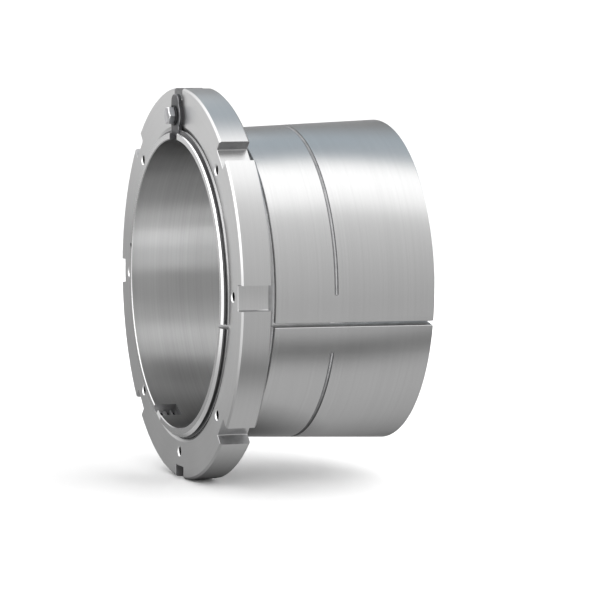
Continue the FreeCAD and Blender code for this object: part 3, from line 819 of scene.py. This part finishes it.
def clip_points():
    """Points of the bent plate: its rounded section carried down the plate, round the bend and along.

    The half width is that of a straight strip with two round top corners, a round eye about the
    screw, and a fillet on each side where the eye's circle runs into the strip. The section is square
    at the back, and its front falls away towards the outline by the edge radius, in a quarter circle.
    """
    thick = -CLIP_LOW[0]
    half, eye, waist, corner, edge = CLIP_HALF, CLIP_EYE_R, CLIP_WAIST_R, CLIP_CORNER_R, CLIP_EDGE_R
    top_z, under_z = CLIP_HIGH[2], CLIP_LOW[2]
    bend_r = CLIP_BEND_R + thick / 2
    bend_x, bend_z = CLIP_BEND_R, under_z + thick + CLIP_BEND_R

    # Middle line, with rows close together at the top corners and along the eye and its fillets
    eye_reach, far = 12.4, 99.0
    quarter = np.radians(np.linspace(0, 90, 7))
    rows = np.concatenate([
        top_z - edge * (1 - np.cos(quarter)),
        top_z - np.array([1.3, 1.8, 2.5, 3.3, 4.2, 5.2, 6.4, corner]),
        SCREW_CIRCLE_R + np.linspace(eye_reach, -eye_reach, 41), [bend_z]])
    plate = np.stack([np.full(len(rows), -thick / 2), rows], axis=1)
    swing = np.radians(np.linspace(0, 90, 13))[1:]
    bend = np.stack([bend_x - bend_r * np.cos(swing), bend_z - bend_r * np.sin(swing)], axis=1)
    tab = np.array([[CLIP_HIGH[0], under_z + thick / 2]])
    line = np.concatenate([plate, bend, tab])
    normal = np.concatenate([
        np.tile([-1.0, 0.0], (len(plate), 1)),
        np.stack([-np.cos(swing), -np.sin(swing)], axis=1),
        [[0.0, -1.0]]])

    # slope is the sideways part of the outline's normal: 1 on the strip, and on a circle the half
    # chord over the radius
    below = np.where(line[:, 0] <= -thick / 2, top_z - line[:, 1], far)
    beside = np.abs(np.where(below < far, line[:, 1] - SCREW_CIRCLE_R, far))
    fillet_z = math.sqrt((eye + waist) ** 2 - (half + waist) ** 2)
    wide = np.full(len(line), half)
    in_corner = below < corner
    wide[in_corner] = half - corner + np.sqrt(corner ** 2 - (corner - below[in_corner]) ** 2)
    in_eye = beside <= fillet_z * eye / (eye + waist)
    wide[in_eye] = np.sqrt(eye ** 2 - beside[in_eye] ** 2)
    in_waist = ~in_eye & (beside < fillet_z)
    wide[in_waist] = half + waist - np.sqrt(waist ** 2 - (fillet_z - beside[in_waist]) ** 2)
    slope = np.ones(len(line))
    slope[in_corner] = (wide[in_corner] - half + corner) / corner
    slope[in_eye] = wide[in_eye] / eye
    slope[in_waist] = (half + waist - wide[in_waist]) / waist

    # Section: how far each point lies from the outline, and how far the front has dropped there
    inset = edge * (1 - np.cos(quarter))
    from_side = inset / np.maximum(slope, 0.3)[:, None]
    from_side = np.minimum(from_side, wide[:, None] * np.linspace(0, 0.9, 7))
    across = wide[:, None] - from_side
    across = np.concatenate([across, -across[:, ::-1]], axis=1)
    to_side = (wide[:, None] - np.abs(across)) * slope[:, None]
    in_arc = np.abs(across) > half - corner
    to_corner = corner - np.hypot(np.abs(across) - (half - corner), corner - below[:, None])
    to_edge = np.where(in_corner[:, None], np.where(in_arc, to_corner, below[:, None]), to_side)
    to_edge = np.clip(to_edge, 0, edge)
    drop = edge - np.sqrt(edge ** 2 - (edge - to_edge) ** 2)
    across = np.concatenate([wide[:, None], across, -wide[:, None]], axis=1)
    rear = np.full((len(line), 1), -thick / 2)
    out = np.concatenate([rear, thick / 2 - drop, rear], axis=1)
    x = line[:, :1] + out * normal[:, :1]
    z = line[:, 1:] + out * normal[:, 1:]
    return np.stack([x, across, z], axis=-1)


class ADAPTER_OT_locking_clip(Operator):
    """Dark bent plate that locks the nut to the sleeve's keyway"""
    bl_idname = "adapter.locking_clip"
    bl_label = "Locking clip"

    def execute(self, context):
        colours = context.scene.adapter_colours
        thick, edge = -CLIP_LOW[0], CLIP_EDGE_R
        bend_z = CLIP_LOW[2] + thick + CLIP_BEND_R
        # Phosphated spring steel: a dark grey with a faint metal sheen
        coat = coated_metal(
            "phosphated_spring_steel", colours.clip_phosphate, roughness=0.42, grain_mm=0.35,
            metallic=0.6)
        # The sides of its outline are coloured darker and duller than its front
        dark_sided = coated_metal(
            "sheared_spring_steel", colours.washer_oxide, roughness=0.5, grain_mm=0.3, metallic=0.5)
        # Its rounded front edge is painted a lighter grey: a painted highlight that shows as a thin
        # light line
        glinting = coated_metal(
            "worn_spring_steel", colours.clip_edge_highlight, roughness=0.35, grain_mm=0.35, metallic=1.0)
        piece = solid_object(
            "bent_clip", carried_solid("bent_clip", clip_points()), (coat, dark_sided, glinting))
        # The sides of the outline get the darker coat
        paint_faces(piece, coat, dark_sided, lambda x, y, z: (
            (x > edge - thick) & (x < -0.1) & (z > bend_z)))
        # Painted highlight: the front edge's rounding gets the lighter grey
        paint_faces(piece, coat, glinting, lambda x, y, z: (
            (x > 0.04 - thick) & (x < edge - thick) & (z > bend_z)))
        hole_r, mouth, past = 5.5, 0.4, 1
        wide_r = hole_r + mouth + past
        hole = hole_cutter("clip_hole", [
            (-thick - past, 0), (-thick - past, wide_r), (-thick + mouth, hole_r), (-mouth, hole_r),
            (past, wide_r), (past, 0)], 48, 0.0, SCREW_CIRCLE_R)
        cut_away(piece, [hole], coat)
        finish_piece(piece, "locking_clip", 50)
        return {"FINISHED"}


class ADAPTER_OT_spring_washer(Operator):
    """Split washer under the screw's head"""
    bl_idname = "adapter.spring_washer"
    bl_label = "Spring washer"

    def execute(self, context):
        front, back = WASHER_LOW[0], WASHER_HIGH[0]
        outer, inner = WASHER_HIGH[1], 5.3
        gap = math.radians(12)
        # Each corner is softened by three points: X, radius, and which way the section lies from it
        soft = 0.3
        corners = [
            (front, inner, 1, 1), (front, outer, 1, -1), (back, outer, -1, -1), (back, inner, -1, 1)]
        outline = []
        for index, (x, r, turn_x, turn_r) in enumerate(corners):
            bits = [(x + turn_x * soft, r), (x + turn_x * soft * 0.3, r + turn_r * soft * 0.3),
                    (x, r + turn_r * soft)]
            outline += bits if index % 2 == 0 else bits[::-1]
        x, r = np.array(outline).T
        clock = np.linspace(gap, TURN - gap, 73)[:, None]
        points = on_clock(x[None, :], r[None, :], clock, SCREW_CIRCLE_R)
        # Black oxide on spring steel: nearly black, with a low satin sheen
        oxide = coated_metal(
            "black_oxide_spring_steel", context.scene.adapter_colours.washer_oxide, roughness=0.45,
            grain_mm=0.3, metallic=0.5)
        piece = solid_object("split_washer", carried_solid("split_washer", points), (oxide,))
        finish_piece(piece, "spring_washer")
        return {"FINISHED"}


def screw_mesh(screw_pitch):
    """The screw: rows from its dished head over the hexagon to the tip, turned round its own axis.

    A hexagon's radius is its half width across flats over the cosine of the angle from the middle of
    the nearest flat. The bevel at its front is a cone, so it runs out in an arc on each flat.
    """
    top, tip, under = SCREW_LOW[0], SCREW_HIGH[0], WASHER_LOW[0]
    half_flats = SCREW_HIGH[2] - SCREW_CIRCLE_R
    soft = math.radians(1.5)
    even_clocks = np.arange(96) * TURN / 96
    corner_clocks = (np.arange(6) + 0.5) * TURN / 6
    clock = np.unique(np.concatenate([
        even_clocks, corner_clocks - soft, corner_clocks + soft]) % TURN)
    from_flat = np.abs((clock + TURN / 12) % (TURN / 6) - TURN / 12)
    hexagon = half_flats / np.cos(np.minimum(from_flat, TURN / 12 - soft))
    land, rim_break, dish, collar_r = SCREW_LAND_R, 0.6, 0.12, 7.5
    bevel = top + np.maximum(hexagon - rim_break - land, 0) * SCREW_BEVEL_SLOPE
    crest_r, root_r, chamfer = 4.95, 4.1, 1.0

    def shank_radius(x):
        """Root plus the thread's height, cut by the cone of the tip's chamfer."""
        height = thread_height((x - under) / screw_pitch - clock / TURN)
        return np.minimum(root_r + (crest_r - root_r) * height, crest_r - chamfer + (tip - x))

    thread = threaded(shank_radius, screw_pitch, under, clock)
    blocks = [
        (top + dish, 0.0), (top + dish, land - 0.9), (top, land - 0.6), (top, land),
        (bevel, hexagon - rim_break), (bevel + rim_break, hexagon), (under - 0.5, hexagon),
        (under - 0.4, collar_r + 0.1), (under, collar_r), (under, 5.4), (under + 0.3, crest_r),
        (under + 1.0, crest_r),
        thread(under + 1.0, tip - chamfer),
        thread(tip - chamfer, tip),
        (tip, 0.0)]
    return turned_mesh("hexagon_screw", blocks, clock, SCREW_CIRCLE_R)


class ADAPTER_OT_clip_screw(Operator):
    """Hexagon head screw with its real thread"""
    bl_idname = "adapter.clip_screw"
    bl_label = "Clip screw"

    def execute(self, context):
        colours = context.scene.adapter_colours
        top = SCREW_LOW[0]
        # Zinc plate: a mid grey with a soft metal gloss
        zinc = coated_metal(
            "zinc_plated_steel", colours.screw_zinc, roughness=0.34, grain_mm=0.25, metallic=1.0)
        # The head's front is turned, and lighter than its flats
        turned = coated_metal(
            "turned_screw_steel", colours.screw_front, roughness=0.32, grain_mm=0.25, metallic=1.0)
        # The break round the hexagon is painted near white: a painted highlight that shows as a white
        # line
        bright = coated_metal(
            "bright_screw_edge", colours.edge_highlight, roughness=0.32, grain_mm=0.25, metallic=1.0)
        piece = solid_object(
            "hexagon_screw", screw_mesh(context.scene.adapter_sizes.screw_pitch),
            (zinc, turned, bright))

        def past_bevel(x, y, z):
            """Behind the cone of the head's bevel, outside its flat land."""
            out = np.hypot(y, z - SCREW_CIRCLE_R) - SCREW_LAND_R
            return (out > 0) & (x > top + 0.1 + out * SCREW_BEVEL_SLOPE)

        paint_faces(piece, zinc, turned, lambda x, y, z: x < top + 1.8)
        # Painted highlight: the hexagon's break gets the near white
        paint_faces(piece, turned, bright, past_bevel)
        finish_piece(piece, "clip_screw")
        return {"FINISHED"}


# Stage

def hide_from(thing, *kinds):
    """Makes an object unseen by these kinds of rays."""
    for kind in kinds:
        setattr(thing, f"visible_{kind}", False)


def area_lamp(name, width, height, power, *unseen_by):
    """Rectangular lamp that shines along its own -Z, in metres and watts."""
    light = bpy.data.lights.new(name, "AREA")
    light.shape = "RECTANGLE"
    light.size, light.size_y = width, height
    light.energy = power
    lamp = bpy.data.objects.new(name, light)
    bpy.context.scene.collection.objects.link(lamp)
    hide_from(lamp, *unseen_by)
    return lamp


def flat_disc(name, middle_x, distance, height, material, stretch=1.0):
    """Open disc of rings of points at a distance and a height, stretched along X."""
    clock = np.arange(FLOOR_COLUMNS) * TURN / FLOOR_COLUMNS
    points = np.stack(np.broadcast_arrays(
        middle_x + stretch * distance * np.cos(clock), distance * np.sin(clock), height), axis=-1)
    faces = grid_faces(len(distance), FLOOR_COLUMNS)
    return solid_object(name, fill_mesh(name, points.reshape(-1, 3), faces), (material,))


def pale_floor(colour):
    """Round paper floor that rises far away: flat to 5 m, then up by (distance - 5 m) ** 2 / 9 m."""
    distance = np.concatenate([[0.0], np.geomspace(0.2, 14, 40)])[:, None] / MM
    flat_mm, rise_mm = 5000, 9000
    height = FLOOR_Z + np.clip(distance - flat_mm, 0, None) ** 2 / rise_mm
    # Matt white paper: a bright even surface with no gloss
    paper = new_material("matt_white_paper")
    shader = paper.node_tree.nodes["Principled BSDF"]
    shader.inputs["Base Color"].default_value = (*colour, 1)
    shader.inputs["Roughness"].default_value = 0.9
    shader.inputs["Specular IOR Level"].default_value = 0.1
    floor = flat_disc("studio_floor", 0.0, distance, height, paper)
    floor.data.shade_smooth()
    hide_from(floor, "glossy")


def contact_shade():
    """Dark oval under the nut that stands for the floor's shadow in the metal's reflections.

    It is black at its middle, clearer towards its rim in step with the distance, and clear in front
    of the nut.
    """
    middle_x, core, reach, stretch = 20.0, 17.0, 115.0, 1.2
    patch_z = FLOOR_Z + 0.3
    # Black gauze: clear where its cover is 0, and black where it is 1
    gauze = new_material("black_gauze")
    tree = gauze.node_tree
    place = add_node(tree, "ShaderNodeTexCoord").outputs["Object"]
    from_middle = add_node(
        tree, "ShaderNodeMapping",
        vector=place, location=(-middle_x * MM / stretch, 0, -patch_z * MM), scale=(1 / stretch, 1, 1))
    away = add_node(tree, "ShaderNodeVectorMath", {"operation": "LENGTH"}, in_0=from_middle)
    cover = add_node(
        tree, "ShaderNodeMapRange", value=away.outputs["Value"],
        from_min=core * MM, from_max=reach * MM, to_min=1.0, to_max=0.0)
    along = add_node(tree, "ShaderNodeSeparateXYZ", in_0=place)
    behind = add_node(
        tree, "ShaderNodeMapRange", value=along.outputs[0],
        from_min=-20 * MM, from_max=8 * MM, to_min=0.0, to_max=1.0)
    dark = add_node(tree, "ShaderNodeMath", {"operation": "MULTIPLY"}, in_0=cover, in_1=behind)
    clear = add_node(tree, "ShaderNodeBsdfTransparent")
    black = add_node(tree, "ShaderNodeEmission", color=(0, 0, 0, 1), strength=0.0)
    mixed = add_node(tree, "ShaderNodeMixShader", in_0=dark, in_1=clear, in_2=black)
    tree.links.new(mixed.outputs[0], tree.nodes["Material Output"].inputs["Surface"])
    rings = np.array([0.0, reach])[:, None]
    patch = flat_disc("contact_shade", middle_x, rings, patch_z, gauze, stretch)
    hide_from(patch, "camera", "diffuse", "shadow", "transmission")


def studio_lamps():
    """The card that the nut's face mirrors, the strips inside the bore and the floor's two lamps."""
    # Tilted card of soft light behind the part's left, which the nut's flat face mirrors
    width, height = 2.4, 1.2
    card = area_lamp("face_card", width, height, CARD_POWER, "camera", "diffuse", "transmission")
    tilt = math.radians(CARD_TILT)
    card.location = Vector(CARD_EDGE) + Vector((-math.sin(tilt), 0, math.cos(tilt))) * height / 2
    card.rotation_euler = (math.radians(-90), -tilt, 0)

    # Long strips along the bore face the axis from 10 mm inside the wall. A lamp that shines with
    # the brightness 1 gives pi watts for each square metre.
    length = 140 * MM
    for number, (degrees, width, glow) in enumerate(BORE_STRIPS):
        strip = area_lamp(
            f"bore_strip_{number}", length, width * MM, glow * math.pi * length * width * MM,
            "camera", "diffuse", "transmission")
        turn = math.radians(degrees)
        strip.location = on_clock(130.0, BORE_R - 10, turn) * MM
        strip.rotation_euler = (turn, 0, 0)

    # Two wide low lamps past the big end light the floor under the sleeve, and only the floor
    for side, label in ((-1, "near_floor_lamp"), (1, "far_floor_lamp")):
        lamp = area_lamp(label, 2.0, 0.8, FLOOR_POWER, "camera", "glossy", "transmission")
        lamp.location = (1.5, side * 1.5, 0.6)
        lamp.rotation_mode = "QUATERNION"
        lamp.rotation_quaternion = (Vector((0.1, 0, -0.19)) - lamp.location).to_track_quat("-Z", "Y")


def studio_world():
    """Soft studio light whose brightness follows the angle round the X axis.

    One ramp is for the big end's side, which the barrel mirrors. Past the nut, one is for what its
    flat face and the bore mirror, and one further out for what the chamfers mirror. What scatters
    light, as the floor does, gets a plain sky, brighter at the horizon and towards the big end.
    """
    world = bpy.data.worlds.new("soft_studio")
    world.use_nodes = True
    tree = world.node_tree
    place = add_node(tree, "ShaderNodeTexCoord").outputs["Generated"]
    axes = add_node(tree, "ShaderNodeSeparateXYZ", in_0=place)
    ahead = add_node(
        tree, "ShaderNodeMath", {"operation": "MULTIPLY"}, in_0=axes.outputs[1], in_1=-1.0)
    angle = add_node(
        tree, "ShaderNodeMath", {"operation": "ARCTAN2"}, in_0=axes.outputs[2], in_1=ahead)
    share = add_node(
        tree, "ShaderNodeMapRange",
        value=angle, from_min=-math.pi, from_max=math.pi, to_min=0.0, to_max=1.0)
    ramps = []
    for stops in (BARREL_LIGHT, BORE_LIGHT, CHAMFER_LIGHT):
        ramp = add_node(tree, "ShaderNodeValToRGB", fac=share)
        elements = ramp.color_ramp.elements
        while len(elements) < len(stops):
            elements.new(0.5)
        for element, (degrees, value) in zip(elements, stops):
            element.position = (degrees + 180) / 360
            element.color = (*np.broadcast_to(value, 3), 1.0)
        ramps.append(ramp)
    barrel, bore, light = ramps
    for ramp, low, high in ((bore, -0.5, -0.3), (barrel, -0.2, 0.0)):
        side = add_node(
            tree, "ShaderNodeMapRange", {"interpolation_type": "SMOOTHSTEP"},
            value=axes.outputs[0], from_min=low, from_max=high)
        light = add_node(
            tree, "ShaderNodeMix", {"data_type": "RGBA"}, in_0=side, in_6=light, in_7=ramp).outputs[2]
    dome = add_node(
        tree, "ShaderNodeMapRange", value=axes.outputs[0],
        from_min=-1.0, from_max=1.0, to_min=0.35, to_max=2.6)
    low_sky = add_node(
        tree, "ShaderNodeMapRange", value=axes.outputs[2],
        from_min=0.0, from_max=1.0, to_min=1.8, to_max=0.6)
    soft_sky = add_node(
        tree, "ShaderNodeMath", {"operation": "MULTIPLY"}, in_0=dome, in_1=low_sky)
    on_paper = add_node(tree, "ShaderNodeLightPath").outputs["Is Diffuse Ray"]
    both = add_node(
        tree, "ShaderNodeMix", {"data_type": "RGBA"}, in_0=on_paper, in_6=light, in_7=soft_sky)
    tree.links.new(both.outputs[2], tree.nodes["Background"].inputs["Color"])
    return world


def photo_camera():
    """Camera at the photo's place and angle."""
    data = bpy.data.cameras.new("photo_camera")
    data.lens = CAMERA_LENS
    data.sensor_width = 36.0
    data.clip_end = 100.0
    camera = bpy.data.objects.new("photo_camera", data)
    bpy.context.scene.collection.objects.link(camera)
    camera.location = CAMERA_PLACE
    camera.rotation_mode = "QUATERNION"
    camera.rotation_quaternion = (-Vector(CAMERA_BACK)).to_track_quat("-Z", "Y")
    return camera


class ADAPTER_OT_stage(Operator):
    """Pale floor, soft studio light and the camera"""
    bl_idname = "adapter.stage"
    bl_label = "Stage"

    def execute(self, context):
        scene = context.scene
        scene.view_settings.view_transform = "Standard"
        pale_floor(scene.adapter_colours.floor_white)
        contact_shade()
        studio_lamps()
        scene.world = studio_world()
        scene.camera = photo_camera()
        return {"FINISHED"}


class ADAPTER_PT_panel(Panel):
    """Lists the settings and the steps in the sidebar"""
    bl_label = "Adapter Sleeve"
    bl_idname = "ADAPTER_PT_panel"
    bl_space_type = "VIEW_3D"
    bl_region_type = "UI"
    bl_category = "Adapter Sleeve"

    def draw(self, context):
        layout = self.layout
        for group in (context.scene.adapter_sizes, context.scene.adapter_colours):
            column = layout.column(align=True)
            for name in group.__annotations__:
                column.prop(group, name)
        for step in STEPS:
            layout.operator(step.bl_idname)


STEPS = (
    ADAPTER_OT_sleeve, ADAPTER_OT_lock_nut, ADAPTER_OT_locking_clip,
    ADAPTER_OT_spring_washer, ADAPTER_OT_clip_screw, ADAPTER_OT_stage,
)
CLASSES = (AdapterSleeveSizes, AdapterSleeveColours, *STEPS, ADAPTER_PT_panel)


def register():
    for item in CLASSES:
        bpy.utils.register_class(item)
    bpy.types.Scene.adapter_sizes = PointerProperty(type=AdapterSleeveSizes)
    bpy.types.Scene.adapter_colours = PointerProperty(type=AdapterSleeveColours)


def unregister():
    del bpy.types.Scene.adapter_colours
    del bpy.types.Scene.adapter_sizes
    for item in reversed(CLASSES):
        bpy.utils.unregister_class(item)


def main():
    register()
    bpy.ops.adapter.sleeve()
    bpy.ops.adapter.lock_nut()
    bpy.ops.adapter.locking_clip()
    bpy.ops.adapter.spring_washer()
    bpy.ops.adapter.clip_screw()
    bpy.ops.adapter.stage()


if __name__ == "__main__":
    main()
